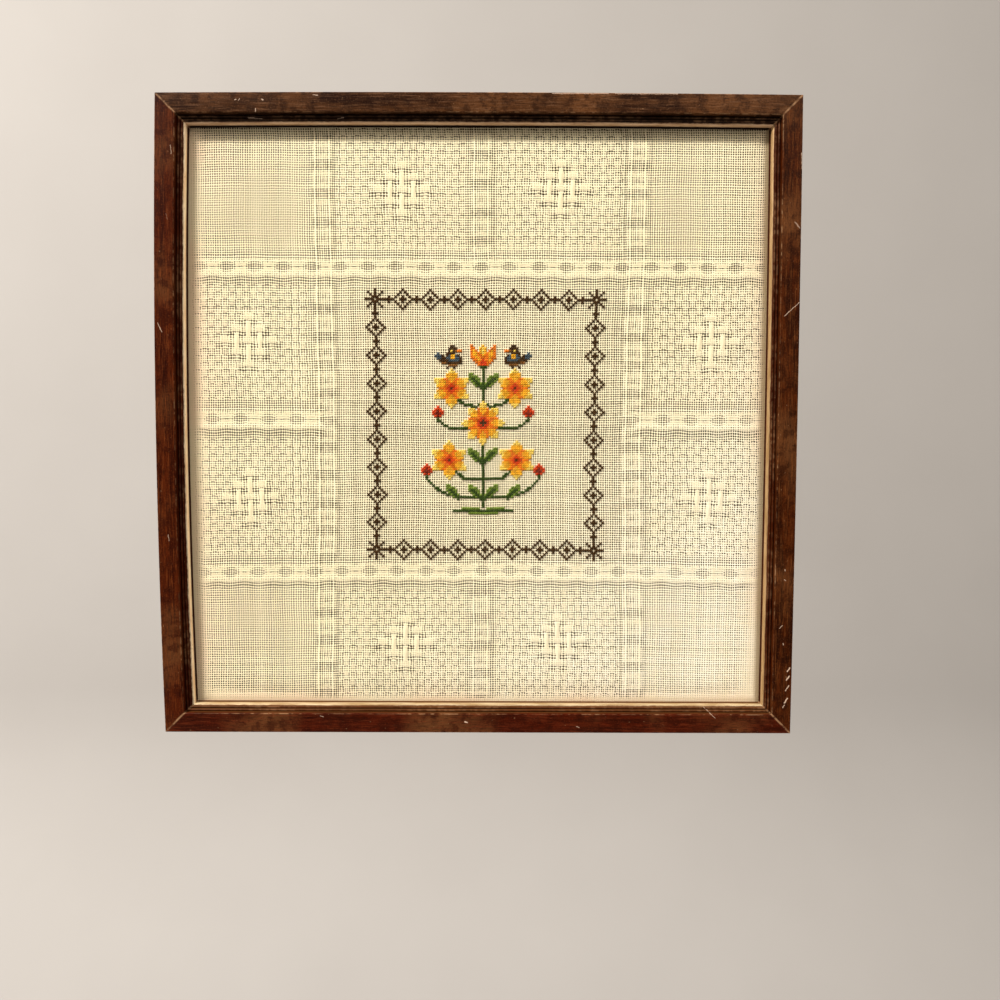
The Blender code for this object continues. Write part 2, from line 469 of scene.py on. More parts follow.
raw_wood = raw_finish()


# %% Build the four rails
STATIONS = 190
BOWS = {"top": 0.8 * MM, "right": 0.6 * MM, "bottom": 0.0, "left": 2.8 * MM}
MITRE_BACK = 0.02 * MM


def waver(along, seed, size):
    """A slow uneven wave along a rail, from a few sines."""
    total = np.zeros_like(along)
    for k, length in enumerate((0.047, 0.021, 0.0093, 0.0051)):
        total += np.sin(2 * math.pi * along / length + seed * (k + 1.7)) / (1 + 0.5 * k)
    return size * total / 2.4


def build_rail(side, turn, finish, gilt, seed):
    rows = np.array([row[:3] for row in section])
    finishes = [row[3] for row in section]
    count = len(rows)
    share = np.linspace(-1, 1, STATIONS + 1)[:, None]
    across, out, arris = (np.tile(rows[:, k], (STATIONS + 1, 1)) for k in range(3))
    along = share * (HALF_SIDE - across - MITRE_BACK)

    # The gilt's outer border wavers, and the rest of the gilt follows less towards the cloth
    first = finishes.index(GILT)
    for step in range(ARC_STEPS):
        column = first + step
        across[:, column] += waver(along[:, column], seed, 0.2 * MM) * (1 - step / ARC_STEPS)
    away = HALF_SIDE - across + BOWS[side] * (1 - share * share)
    angle = math.radians(turn)
    x = along * math.cos(angle) + away * math.sin(angle)
    z = away * math.cos(angle) - along * math.sin(angle) + CENTRE.z
    points = np.stack([x, -out, z], axis=-1).reshape(-1, 3)

    faces = []
    slots = []
    for station in range(STATIONS):
        for j in range(count):
            near = station * count
            following = (j + 1) % count
            faces.append((near + j, near + count + j, near + count + following, near + following))
            slots.append(finishes[j])
    faces.append(tuple(range(count)))
    faces.append(tuple(reversed(range(STATIONS * count, (STATIONS + 1) * count))))
    slots += [RAW, RAW]

    mesh = bpy.data.meshes.new("rail_" + side + "_moulding")
    mesh.from_pydata(points.tolist(), [], faces)
    mesh.polygons.foreach_set("material_index", slots)
    girth = np.concatenate([[0], np.cumsum(np.linalg.norm(np.diff(rows[:, :2], axis=0), axis=1))])
    total = girth[-1] + SOLID_BACK
    corner_points = np.zeros(len(mesh.loops), dtype=np.int32)
    mesh.loops.foreach_get("vertex_index", corner_points)
    u = along.ravel()[corner_points] + 1.3 * seed
    v = girth[corner_points % count]

    # The last strip joins the section's end to its start, so its far side takes the full girth
    quads = STATIONS * count * 4
    strip = (np.arange(quads) // 4) % count == count - 1
    v[:quads] = np.where(strip & (v[:quads] == 0), total, v[:quads])
    mesh.uv_layers.new(name="Grain").data.foreach_set("uv", np.stack([u, v], axis=-1).ravel())

    store(mesh, "arris", arris)
    store(mesh, "mitre", (HALF_SIDE - across - np.abs(along)) / math.sqrt(2))
    # The step, reeds and gilt below the band take painted light and shade, less on the reed crowns
    sunk = (out < DEPTH - 1.5 * MM) & (across > BAND_WIDTH - ARRIS)
    store(mesh, "below_band_painted_light", np.where(sunk, 1 - arris * (0.8 if side == "top" else 1.6), 0.0))
    front = (out > DEPTH - STEP_DROP - 1.5 * MM) & ((across > 0) | (out > DEPTH - 1 * MM))
    store(mesh, "front", front.astype(float))
    edge = np.zeros_like(across)
    edge[:, first] = 1.0
    edge[:, first + 1] = 0.6 if side == "right" else 1.0
    edge[:, first + 2] = 0.0 if side == "right" else 0.5
    edge[:, first + ARC_STEPS] = 1.0
    store(mesh, "gilt_edge", edge)
    mesh.shade_smooth()
    mesh.set_sharp_from_angle(angle=math.radians(32))
    rail = keep("rail_" + side + "_moulding", mesh, finish, gilt, raw_wood)
    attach(rail, "root")
    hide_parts("rail_" + side)
    return rail


# Each entry: a stain's dark, warm and light colours, then the colour of the painted light and shade
# below the band, and how much of it
STAINS_AND_PAINTED_LIGHT = {
    "top": (
        (0.0136, 0.0035, 0.0008), (0.05168, 0.0182, 0.0056), (0.1428, 0.0665, 0.032),
        (0.00272, 0.00056, 0.00024), 0.95,
    ),
    "right": (
        (0.01452, 0.00248, 0.00044), (0.05016, 0.0093, 0.0011), (0.132, 0.04092, 0.00968),
        (0.0264, 0.0031, 0.000352), 0.8,
    ),
    "bottom": (
        (0.024, 0.0028, 0.0005), (0.0525, 0.00525, 0.0007), (0.12, 0.0224, 0.007),
        (0.08625, 0.0329, 0.009), 0.85,
    ),
    "left": (
        (0.0207, 0.00224, 0.00028), (0.0552, 0.00784, 0.00088), (0.138, 0.03248, 0.0064),
        (0.01794, 0.00168, 0.00024), 0.9,
    ),
}

# Each rail's gilt is a dull and a bright colour. They are lit and shaded copies of one gilt, in
# painted light and shade: dimmest on the right rail, brightest on the left
GILTS_LIT_AND_SHADED = {
    "top": ((0.42, 0.25, 0.13), (0.62, 0.42, 0.26)),
    "right": ((0.29, 0.165, 0.062), (0.44, 0.28, 0.135)),
    "bottom": ((0.34, 0.22, 0.10), (0.53, 0.41, 0.25)),
    "left": ((0.86, 0.57, 0.32), (0.96, 0.79, 0.54)),
}
for seed, (side, turn) in enumerate(zip(STAINS_AND_PAINTED_LIGHT, (0, 90, 180, 270)), 1):
    wood = wood_finish("stained_wood_" + side, *STAINS_AND_PAINTED_LIGHT[side], MARKS[side], seed)
    gilt = gilt_finish("gilt_edge_" + side, *GILTS_LIT_AND_SHADED[side])
    rail = build_rail(side, turn, wood, gilt, seed)
    print(rail.name, len(rail.data.polygons), "faces")

# %% [markdown]
# ## The board
# The board behind the cloth only shows from the back. Its solid has the right shape, so it stays
# and gets a brown pressed board finish, with short fibres and a few damp stains.

# %% Board finish
board, board_shader = new_finish("pressed_board", Roughness=0.88)
board_place = object_place()
fibres = noise(stretched(board_place, (900, 900, 320)), 1.0, 4.0, 0.7)
damp = noise(board_place, 9.0, 4.0, 0.55)
board_colour = blend(smooth_step(fibres, 0.3, 0.7), (0.20, 0.12, 0.060), (0.34, 0.22, 0.12))
board_colour = tint(board_colour, (0.13, 0.075, 0.04), damp, 0.50, 0.72, 0.0, 0.55)
join(board_colour, board_shader.inputs["Base Color"])
relief(board_shader, fibres, 0.35, 0.0002)
board_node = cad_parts["backing_board"]
for slot in board_node.material_slots:
    slot.material = board

# %% [markdown]
# ## The weave
# The cloth is an even weave with fancy bands. Between two threads of each direction is a hole, and
# the holes make a grid of 252 by 252 cells, each about 1.4 mm. The mesh has a point on every hole.
# Six tables hold what the weave does there: how open the hole is, how dark a line runs across or up
# through it, how far the threads stand out, and how far the hole slides sideways and up. The finish
# reads the first three and draws the round holes and the lines. The others move the points.

# %% The weave's tables
HALF_CELLS = 126
CELL = HALF_SHEET / HALF_CELLS
SIZE = 2 * HALF_CELLS + 1
SEED = 7
PLAIN_HOLE = 0.61
random = np.random.default_rng(SEED)
counts = np.arange(-HALF_CELLS, HALF_CELLS + 1)
U, V = np.meshgrid(counts, counts, indexing="ij")
hole = np.full((SIZE, SIZE), PLAIN_HOLE)
line_across, line_up, rise, slide_u, slide_v = np.zeros((5, SIZE, SIZE))

# Places of the bands, counted in holes from the middle
LADDER_STARTS = (-72, -4, 63)
LADDER_CELLS = 9
BRAID_MIDDLES = (65, 0, -66)
BRAID_UP, BRAID_DOWN = 4, 5
REPEAT = 12


def digits(rows):
    """A chart of tenths, with its rows from the top down."""
    return np.array([[int(mark) / 10 for mark in row] for row in rows.split()])


# %% [markdown]
# The eight side panels have a small texture of brackets, each four holes wide with two legs. A
# second bracket starts three holes to the right and three rows down, so both fit in six by six.

# %% Bracket texture
BRACKETS = digits("899844 755755 644644 844899 755755 644644")
BRACKET_ARCH = np.array([-1, 1, 1, -1, 0, 0])
BRACKET_SLIDE = 0.16

# The panels lie in the columns and rows between the bands, counted in holes, outside the middle
in_column = ((U > -62) & (U < -6)) | ((U > 7) & (U < 62))
in_row = ((V > 8) & (V < 58)) | ((V > -59) & (V < -8))
panels = (in_column & ((V > 72) | (V < -74))) | (in_row & (np.abs(U) > 74))
down = (-V) % 6
right = U % 6
hole[panels] = BRACKETS[down, right][panels]
arch = np.where(down == 0, BRACKET_ARCH[right], np.where(down == 3, BRACKET_ARCH[(U - 3) % 6], 0))
slide_v[panels] += BRACKET_SLIDE * arch[panels]
splay = np.where(down < 3, 1, -1) * np.where(right == 3, 1, np.where(right == 0, -1, 0))
slide_u[panels] += BRACKET_SLIDE * splay[panels]
hole[panels] *= random.uniform(0.9, 1.1, hole.shape)[panels]
print("holes in the bracket panels:", int(panels.sum()))


# %% [markdown]
# In the middle of each panel is a woven diamond: five pairs of open rows, and between them raised
# bars of warp and smooth spots of weft. The weft arches up a little over the spots.


# %% Woven diamonds
DIAMONDS = (
    (-33.5, 95.5), (34.5, 96.5), (-32.5, -99.5), (34.5, -98.5),
    (-99.5, 31.5), (-99.5, -35.5), (99.5, 31.5), (99.5, -35.5),
)

# Each pair of open rows: its row, how far it reaches, and where its arched spots and its bars are
PAIRS = (
    (10, 3.7, (0,), (0,)),
    (5, 8.7, (-1, 1), (-1, 1)),
    (0, 14.0, (-2, 0, 2), (0,)),
    (-5, 10.0, (-1, 1), ()),
    (-10, 5.0, (0,), ()),
)


def weave_diamond(middle_u, middle_v):
    du = U - middle_u
    dv = V - middle_v
    reach = np.interp(dv, (-13, -10, -5, 0, 5, 10, 13), (3.0, 5.5, 10.5, 14.5, 9.5, 5.5, 3.0))
    inside = (np.abs(du) < reach + 0.6) & (np.abs(dv) < 12.6)
    hole[inside] = 0.5
    line_up[inside] = 0.0
    rise[inside] = 0.0

    # Columns and rows close up where a bar or a pair of rows is
    column = (du + 2.5) % 5 - 2.5
    row = (dv + 2.5) % 5 - 2.5
    steps = (-2.5, -1.5, -0.5, 0.5, 1.5, 2.5)
    slide_u[inside] += np.interp(column, steps, (0, 0.26, 0.08, -0.08, -0.26, 0))[inside]
    slide_v[inside] += np.interp(row, steps, (0, -0.05, -0.12, 0.12, 0.05, 0))[inside]
    for level, extent, arches, bars in PAIRS:
        near = np.abs(du) <= extent
        upper = near & (dv == level + 0.5)
        lower = near & (dv == level - 0.5)
        below = near & (dv == level - 1.5)
        open_column = np.abs(column) > 1
        hole[upper & open_column] = 0.85
        hole[lower & open_column] = 1.0
        hole[below & open_column] = 0.55
        for k in arches:
            off = np.abs(du - 5 * k)
            line_across[upper & (off <= 2.5)] = 0.2
            line_across[lower & (off <= 1.5)] = 0.15
            slide_v[upper & (off <= 1.5)] += 0.22
            slide_v[lower & (off <= 1.0)] += 0.25
            spot = (off <= 2.5) & (dv > level + 1) & (dv < level + 4)
            rise[spot] = np.maximum(rise[spot], 0.15)
            hole[spot & (off < 2)] = 0.26
        for k in bars:
            off = np.abs(du - 5 * k)
            bar = (off <= 0.5) & (dv <= level - 1.5) & (dv >= level - 4.5)
            rise[bar] = 0.42
            rise[(off <= 0.5) & ((dv == level - 0.5) | (dv == level - 5.5))] = 0.2
            hole[(off <= 0.5) & (dv <= level - 0.5) & (dv >= level - 5.5)] = 0.0
            side_row = (off == 1.5) & (dv <= level - 0.5) & (dv >= level - 4.5)
            line_up[side_row] = 0.4
            hole[side_row & (dv < level - 2)] = 0.3


for middle in DIAMONDS:
    weave_diamond(*middle)

# %% [markdown]
# The ladders run up the cloth: two raised cords with groups of open holes between them, and a short
# nested box in each gap. The braids run across it in the same way, with windows. Each is a chart of
# one repeat, twelve threads long. Where a ladder meets a braid, the braid lies on top.

# %% Ladder and braid charts
LADDER = digits("""
8678896768
8778798778
9888789889
9798787979
8768767668
7546564457
7443444347
6465555546
7464664547
8465885648
7464444547
7443444347
""")
LADDER_LINES = digits("""
0013002100
0012001100
0011001100
0011001100
0011001100
0023002100
0035214200
0035885200
0035885200
0035885200
0035535200
0024214200
""")
BRAID = digits("""
777777777777
777777777777
888888888888
343434345543
366663434343
788887411114
888888716617
788887411114
366663343434
434343435534
343434343434
777777777777
888888888888
777777777777
""")
BRAID_LINES = digits("""
000000000000
000000000000
000000000000
000000000000
000000000000
000000024420
000000379973
000000024420
000000000000
000000000000
000000000000
200000000002
000000000000
000000000000
""")
LADDER_TOP = 14
BRAID_TOP = 6


def lay(chart, lines, region, row, column, table):
    """Writes a repeating chart into the tables where the region is true."""
    hole[region] = chart[row % len(chart), column % len(chart[0])][region]
    table[region] = lines[row % len(chart), column % len(chart[0])][region]


def weave_ladder(start, rows):
    column = U - start
    region = (column >= 0) & (column <= LADDER_CELLS) & rows
    line_across[region] = 0.0
    top = np.where((V > BRAID_MIDDLES[1]) & (V < BRAID_MIDDLES[0]), LADDER_TOP - 1, LADDER_TOP)
    if start == LADDER_STARTS[1]:
        top = np.where(V > 0, LADDER_TOP + 4, LADDER_TOP - 3)
    lay(LADDER, LADDER_LINES, region, top - V, np.clip(column, 0, LADDER_CELLS), line_up)
    outside = ((column == -1) | (column == LADDER_CELLS + 1)) & rows
    hole[outside] = 0.8
    rise[region] = 0.12
    rise[region & ((column == 1) | (column == LADDER_CELLS - 1))] = 0.35
    pinch = (-0.05, -0.28, 0.30, 0.0, 0.0, -0.30, 0.28, 0.05)
    slide_u[region] = np.interp(column, (0, 1, 2, 4, 5, 7, 8, 9), pinch)[region]


def weave_braid(middle, columns, phase):
    row = V - middle
    region = (row <= BRAID_TOP) & (row >= BRAID_TOP - len(BRAID) + 1) & columns
    line_up[region] = 0.0
    down = np.clip(BRAID_TOP - row, 0, len(BRAID) - 1)
    lay(BRAID, BRAID_LINES, region, down, U - phase + 3, line_across)
    band = (row <= BRAID_UP) & (row >= -BRAID_DOWN) & columns
    rise[band] = 0.12
    rise[band & ((row == 3) | (row == -4))] = 0.38
    rise[band & (row == -3)] = 0.30
    pinch = np.interp(row, (-5, -4, -3, 2, 3, 4), (0.15, 0.1, 0.0, 0.0, 0.0, -0.2))
    slide_v[band] = pinch[band]
    window = (U - phase + 6) % REPEAT - 5.5
    oval = 0.4 * np.clip(window / 3, -1, 1) ** 2 * (np.abs(window) < 3.5)
    slide_v[:] -= oval * (columns & ((row == 2) | (row == 1)))
    slide_v[:] += oval * (columns & ((row == -2) | (row == -1)))
    wave = 0.28 - 0.28 * np.cos(2 * math.pi * (U - phase + 0.5) / REPEAT)
    sway = columns & (row < -4) & (row >= -9)
    slide_v[sway] += (wave * np.interp(row, (-9, -5), (0.2, 1.0)))[sway]


everywhere = np.ones((SIZE, SIZE), dtype=bool)
outer_rows = (V > BRAID_MIDDLES[0]) | (V < BRAID_MIDDLES[2])
outer_columns = (U < LADDER_STARTS[0] + 4) | (U > LADDER_STARTS[2] + 5)
for start, rows in zip(LADDER_STARTS, (everywhere, outer_rows, everywhere)):
    weave_ladder(start, rows)

# The windows drift a little towards the right, so their start differs along the cloth
drift = np.searchsorted((-30, 20), U)
phases = (drift, np.where(U < 0, 5, 8), np.where(U < -5, drift, 2))
for middle, columns, phase in zip(BRAID_MIDDLES, (everywhere, outer_columns, everywhere), phases):
    weave_braid(middle, columns, phase)

# The plain square in the middle is woven a little more openly
OPEN_HOLE = 0.68
hole[(np.abs(U - 1) < 60) & (np.abs(V) < 57)] = OPEN_HOLE

# No two threads are alike: some are thicker, and some lie closer to the next one
hole *= random.uniform(0.9, 1.1, hole.shape)
line_across *= random.uniform(0.5, 1.2, hole.shape)
hole *= random.normal(1, 0.08, (SIZE, 1)) * random.normal(1, 0.08, (1, SIZE))
slide_u += random.normal(0, 0.06, (SIZE, 1))
slide_v += random.normal(0, 0.06, (1, SIZE))

# Near the frame the threads are matted together and the holes close
near_left = np.clip((U + 124) / 7, 0, 1)
near_right = np.clip((123 - U) / (3 + 7 * np.clip(-V / 122, 0, 1) ** 2), 0, 1)
near_low = np.clip((V + 123) / (1.5 + 8 * np.abs(U / 122) ** 3), 0, 1)
closing = 0.2 + 0.8 * near_left * near_right * near_low
closing *= 1 - 0.25 * np.clip((U - V) / 200, 0, 1) ** 2
hole *= closing
line_across *= closing
line_up *= closing
print("mean openness of the holes:", round(float(hole.mean()), 3))

# %% [markdown]
# Old cloth is never quite straight. It was washed and pulled over its board, so the ladders lean in
# towards the middle and the lower braid rises. Slow waves are added to both directions. The face
# stands out a little in the opening, as the solid does, and the border stays flat under the lip.

# %% Place the weave's points
x = CELL * (U + slide_u)
z = CELL * (V + slide_v)
hold = np.clip((HALF_CELLS - np.maximum(np.abs(U), np.abs(V))) / 6, 0, 1)
pull_in = np.exp(-((z + 0.015) ** 2) / (2 * 0.075**2)) * np.sign(x)
pull_in *= np.interp(np.abs(x), (0, 0.095, 0.115, 0.2), (0, 1, 0.1, 0))
lift = np.clip(-z / 0.09, 0, 1) * (-0.9 + 1.4 * (1 - (x / 0.150) ** 2))
wave_x = np.sin(z / 0.0117 + 1.3 * np.sin(x / 0.031)) + 0.7 * np.sin(z / 0.0051 + x / 0.017 + 2.0)
wave_z = np.sin(x / 0.0133 + 1.1 * np.sin(z / 0.027)) + 0.7 * np.sin(x / 0.0047 + z / 0.019 + 0.7)
WAVE = 0.16
LOOSE = 0.035 * MM
x = x + hold * MM * (0.5 - 2.3 * pull_in + WAVE * wave_x) + hold * random.normal(0, LOOSE, x.shape)
z = z + hold * MM * (lift + WAVE * wave_z) + hold * random.normal(0, LOOSE, z.shape)


def ease(share):
    share = np.clip(share, 0, 1)
    return share * share * (3 - 2 * share)


CROWN = 0.6 * MM
CROWN_RUN = 12 * MM
RIPPLE = 0.12 * MM
RIPPLE_LENGTH = 85 * MM
BORDER_RUN = 4 * MM
HOLE_SINK = 0.14
inside = HALF_SIGHT - 1 * MM - np.maximum(np.abs(x), np.abs(z))
ripple = np.sin(2 * math.pi * x / RIPPLE_LENGTH) * np.cos(2 * math.pi * (z + x / 3) / RIPPLE_LENGTH)
stand = ease(inside / CROWN_RUN) * (CROWN + RIPPLE * ripple)
stand += ease(inside / BORDER_RUN) * (rise - HOLE_SINK * hole) * MM
y = -CLOTH_FRONT - np.maximum(stand, 0)

# Along the frame the cloth is darker, partly from dust and handling and partly as painted shade
# under the rails, most of all at the right
dust_and_edge_shade = np.zeros_like(x)
edges = (HALF_SIGHT + x, HALF_SIGHT - x, HALF_SIGHT + z, HALF_SIGHT - z)
for distance, reach, strength in zip(edges, (5, 3.4, 3, 6), (0.35, 0.75, 0.25, 0.45)):
    dust_and_edge_shade = np.maximum(dust_and_edge_shade, strength * ease(1 - (distance / MM - 0.8) / reach))

# The cloth is tinted peach along three edges and at the top left corner
peach = np.exp(-((x + 0.160) ** 2 + (z - 0.160) ** 2) / 0.02**2)
for distance, reach in zip(edges, (8, 5, 6)):
    peach = np.maximum(peach, np.exp(-distance / (reach * MM)))
peach = np.clip(peach, 0, 1)
print("the cloth's face in mm:", round(y.min() / MM, 2), "to", round(y.max() / MM, 2))

# %% [markdown]
# The finish of the cloth is undyed cotton that has turned cream. Holes are round and painted near
# black, as painted shade for the hole and the ground behind; lines are the gaps beside long threads,
# painted dark the same way; and each cell is a small bundle of thread, with painted shade at its
# edges and between its strands. The mesh carries the dust with painted shade along the frame, and
# the peach tint, as attributes. Slow clouds break up the peach tint, and the cloth is paler towards
# the lower right.


# %% Finish of the cloth
def cloth_finish():
    finish, shader = new_finish(
        "cream_evenweave", Roughness=0.92, Sheen_Weight=0.12, Specular_IOR_Level=0.15
    )
    weave = flat_map("Weave")
    place = object_place()
    wobble = {0: scatter(weave, 1.1, 1.0), "Scale": 0.22}
    wobble = add("ShaderNodeVectorMath", wobble, operation="SCALE").outputs[0]
    moved = vector_calc("ADD", weave, wobble)
    parts = add("ShaderNodeSeparateXYZ", {0: moved})
    u, v = parts.outputs[0], parts.outputs[1]
    du = calc("PINGPONG", u, 0.5)
    dv = calc("PINGPONG", v, 0.5)
    openness = attribute("hole")
    across = attribute("line_across")
    up = attribute("line_up")

    # Round holes, and lines along the grid, both painted near black as the shade inside them
    away = calc("SQRT", calc("ADD", times(du, du), times(dv, dv)))
    radius = calc("MULTIPLY_ADD", openness, 0.24, 0.205)
    pit = smooth_step(away, times(radius, 0.84), times(radius, 1.08), 1.0, 0.0)
    pit = times(pit, smooth_step(openness, 0.0, 0.62))
    gap_across = times(smooth_step(dv, 0.12, 0.34, 1.0, 0.0), across)
    gap_up = times(smooth_step(du, 0.08, 0.24, 1.0, 0.0), up)
    gap = calc("MAXIMUM", gap_across, gap_up)
    dark = calc("MAXIMUM", pit, times(gap, 0.8))

    # Small threads inside each cell turn with it, one cell over and one under
    cell = add("ShaderNodeVectorMath", {0: moved}, operation="FLOOR").outputs[0]
    cell_parts = add("ShaderNodeSeparateXYZ", {0: cell})
    parity = calc("PINGPONG", calc("ADD", cell_parts.outputs[0], cell_parts.outputs[1]), 1.0)
    strands_u = calc("PINGPONG", times(u, 4.0), 0.5)
    strands_v = calc("PINGPONG", times(v, 4.0), 0.5)
    turned = times(parity, calc("SUBTRACT", strands_u, strands_v))
    strands = calc("ADD", strands_v, turned)
    round_cell = times(smooth_step(du, 0.0, 0.42), smooth_step(dv, 0.0, 0.42))

    tones = [
        add("ShaderNodeTexWhiteNoise", {"W": number}, noise_dimensions="1D").outputs["Value"]
        for number in cell_parts.outputs[:2]
    ]
    thread_tone = calc("ADD", *tones)

    # Colour: cream with clouds, then cell by cell with painted shade at the cell edges and strands,
    # then the gaps
    clouds = noise(place, 11.0, 3.0, 0.55)
    mottle = noise(place, 55.0, 3.0, 0.6)
    slub = noise(stretched(weave, (0.12, 1.4, 1)), 1.0, 2.0)
    centred = vector_calc("SUBTRACT", place, CENTRE)
    where = add("ShaderNodeSeparateXYZ", {0: centred})
    warm = times(attribute("peach"), smooth_step(clouds, 0.35, 0.6, 0.3, 1.2))
    warm = calc("ADD", warm, smooth_step(clouds, 0.5, 0.75, 0.0, 0.2))
    right_low = calc("SUBTRACT", where.outputs[0], where.outputs[2])
    pale = smooth_step(right_low, 0.02, 0.30, 0.0, 0.9)
    colour = blend(pale, (0.930, 0.850, 0.600), (0.955, 0.910, 0.780))
    colour = tint(colour, (0.90, 0.79, 0.56), mottle, 0.4, 0.7, 0.0, 0.35)
    colour = blend(warm, colour, (0.94, 0.71, 0.52))
    colour = tint(colour, (0.85, 0.76, 0.50), slub, 0.35, 0.7, 0.0, 0.22)
    colour = tint(colour, (0.80, 0.70, 0.44), thread_tone, 0.5, 1.9, 0.0, 0.3)
    # Painted shade at the edges of each cell and between its small strands
    shade = times(calc("SUBTRACT", 1.0, round_cell), 0.08)
    shade = calc("ADD", shade, times(calc("SUBTRACT", 0.5, strands), 0.22))
    colour = blend(shade, colour, (0.46, 0.37, 0.18))
    colour = tint(colour, (0.46, 0.38, 0.22), openness, 0.1, 0.5, 0.22, 0.0)
    # Dust and painted shade along the frame
    colour = blend(attribute("dust_and_edge_shade"), colour, (0.16, 0.095, 0.025))
    # Painted shade: holes and gaps go near black
    colour = blend(times(dark, 0.98), colour, (0.024, 0.014, 0.003))
    join(colour, shader.inputs["Base Color"])
    height = calc("MULTIPLY_ADD", round_cell, 0.25, times(strands, 0.5))
    relief(shader, calc("SUBTRACT", height, times(dark, 1.2)), 0.6, 0.00035)
    return finish


# %% Build the cloth
def build_cloth(finish):
    """The face is the weave's grid. A rim goes back by the thickness, and a flat back closes it."""
    points = np.stack([x, y, z + CENTRE.z], axis=-1).reshape(-1, 3)
    number = np.arange(SIZE * SIZE).reshape(SIZE, SIZE)
    corners = (number[:-1, :-1], number[1:, :-1], number[1:, 1:], number[:-1, 1:])
    faces = np.stack(corners, axis=-1).reshape(-1, 4).tolist()
    ring = np.concatenate([number[:-1, 0], number[-1, :-1], number[:0:-1, -1], number[0, :0:-1]])
    back = points[ring].copy()
    back[:, 1] = -CLOTH_FRONT + CLOTH_THICK
    middle = [[0, -CLOTH_FRONT + CLOTH_THICK, CENTRE.z]]
    first = len(points)
    count = len(ring)
    for i in range(count):
        j = (i + 1) % count
        faces.append((int(ring[i]), first + i, first + j, int(ring[j])))
        faces.append((first + j, first + i, first + count))
    mesh = bpy.data.meshes.new("sampler_cloth")
    mesh.from_pydata(np.concatenate([points, back, middle]).tolist(), [], faces)
    cells = np.concatenate([np.stack([U, V], axis=-1).reshape(-1, 2), np.zeros((count + 1, 2))])
    cells[first:first + count] = cells[ring]
    corner_points = np.zeros(len(mesh.loops), dtype=np.int32)
    mesh.loops.foreach_get("vertex_index", corner_points)
    mesh.uv_layers.new(name="Weave").data.foreach_set("uv", cells[corner_points].ravel())

    # The rim and the back have no weave of their own, so they take one value for each table
    for name, table, plain in (
        ("hole", hole, 0.5), ("dust_and_edge_shade", dust_and_edge_shade, 0.3), ("peach", peach, 0.3),
        ("line_across", line_across, 0.0), ("line_up", line_up, 0.0),
    ):
        store(mesh, name, np.concatenate([table.ravel(), np.full(count + 1, plain)]))
    mesh.shade_smooth()
    mesh.set_sharp_from_angle(angle=math.radians(70))
    return keep("sampler_cloth", mesh, finish)


cloth = build_cloth(cloth_finish())
print("cloth faces:", len(cloth.data.polygons))

# %% [markdown]
# ## The stitched design
# A cross stitch fills one cell of the weave, so the design is a chart. Four brown bands make a
# square ring: diamonds with a small cross inside, small crosses between them, and an eight-point
# star at each corner. In the middle is a folk bunch of flowers, the same on both sides of its stem,
# with two small birds. The charts use letters for the thread colours.

# %% Thread colours and charts
THREADS = {
    "d": ("border_brown", (0.051, 0.0221, 0.00425)),
    "b": ("tan_brown", (0.204, 0.0808, 0.0153)),
    "Y": ("light_yellow", (0.816, 0.561, 0.102)),
    "y": ("yellow", (0.79, 0.383, 0.0187)),
    "o": ("orange", (0.731, 0.178, 0.0085)),
    "r": ("red", (0.561, 0.0467, 0.00595)),
    "R": ("deep_red", (0.187, 0.0136, 0.00425)),
    "g": ("dark_green", (0.0306, 0.0612, 0.0068)),
    "m": ("mid_green", (0.136, 0.204, 0.0255)),
    "s": ("slate", (0.051, 0.0765, 0.0978)),
}
DIAMOND_BAND = """
....d.......
...d.d......
..d...d.....
.d..d..d..d.
d..ddd..dddd
.d..d..d..d.
..d...d.....
...d.d......
....d.......
""".split()
STAR = """
....d....
.d..d..d.
..d.d.d..
...ddd...
dddd.dddd
...ddd...
..d.d.d..
.d..d..d.
....d....
""".split()
TULIP = """
o....y....o
oo..yYy..oo
oyo.yYy.oyo
oyyoyYyoyyo
oyyooyooyyo
ooyyooooyoo
.ooyorooyo.
..oorrroo..
...orrro...
....ggg....
""".split()
BUD = ["..r..", ".rrr.", "rrRrr", "rRRRr", ".rRr.", "..g.."]
LEAF = ["....mm", "..mmmm", ".mmggm", ".mggm.", "mggm..", "ggm...", "g....."]
BIRD = """
.......dd....
......dddd...
......dYdboo.
.s...dddd....
sssd.dsyysd..
.ssddssyyssd.
..ddddsssssd.
...bbddddddd.
......bbbb...
.....d..d....
""".split()
STEM = 1
BRANCH_STEPS = 60
stitched = {}


def paint(rows, left, top, flip=False):
    """Writes a chart into the design, with its left column and top row in cells."""
    for down, row in enumerate(rows):
        for right, letter in enumerate(reversed(row) if flip else row):
            if letter != ".":
                stitched[(left + right, top - down)] = letter


def paint_twice(rows, left, top):
    """Writes a chart, and its mirror image on the other side of the stem."""
    paint(rows, left, top)
    paint(rows, 2 * STEM - left - len(rows[0]) + 1, top, flip=True)


def branch(start, bend, end, letter):
    """A curved line of stitches, and its mirror image."""
    for step in range(BRANCH_STEPS + 1):
        t = step / BRANCH_STEPS
        across, rising = (
            (1 - t) ** 2 * a + 2 * t * (1 - t) * b + t * t * c for a, b, c in zip(start, bend, end)
        )
        stitched[(STEM + round(across), round(rising))] = letter
        stitched[(STEM - round(across), round(rising))] = letter


